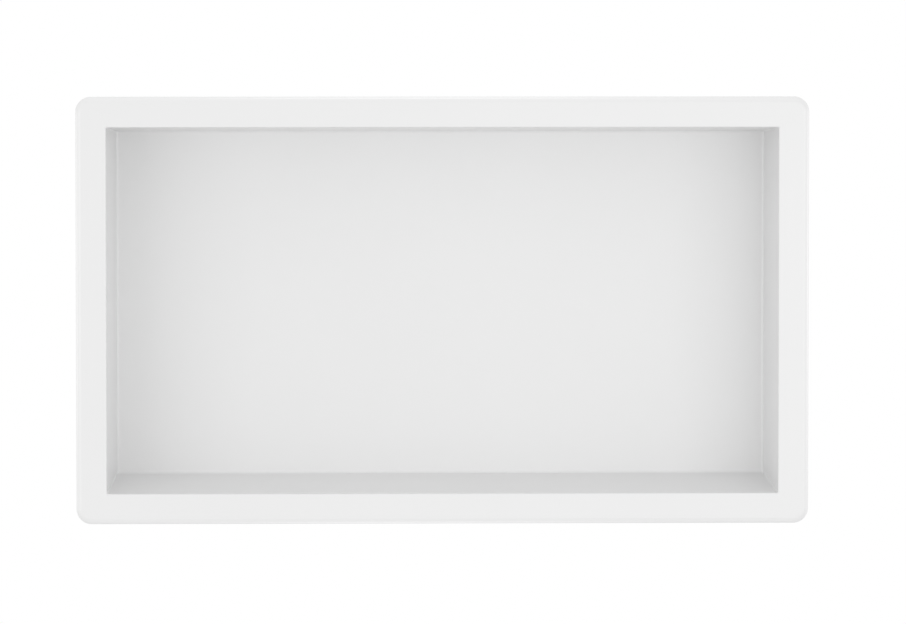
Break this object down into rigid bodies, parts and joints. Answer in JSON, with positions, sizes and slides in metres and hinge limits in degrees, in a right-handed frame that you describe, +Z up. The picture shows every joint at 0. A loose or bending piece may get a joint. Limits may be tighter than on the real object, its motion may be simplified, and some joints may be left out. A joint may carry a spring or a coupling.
{
  "type": "shower niche insert",
  "caption": "White one-piece recessed shower niche: a shallow rectangular pan with leaning walls, a sloped shelf and a broad flat flange that covers the wall cut-out.",
  "frame": {"origin": "centre of the flange's back face, in the plane of the finished wall", "axes": "+X to the right, +Y into the wall so that the mouth faces -Y, +Z up"},
  "size_m": [0.6096, 0.1016, 0.3556],
  "materials": {
    "shell": "satin"
  },
  "bodies": {
    "root": {"niche_insert": "shell"}
  },
  "joints": []
}
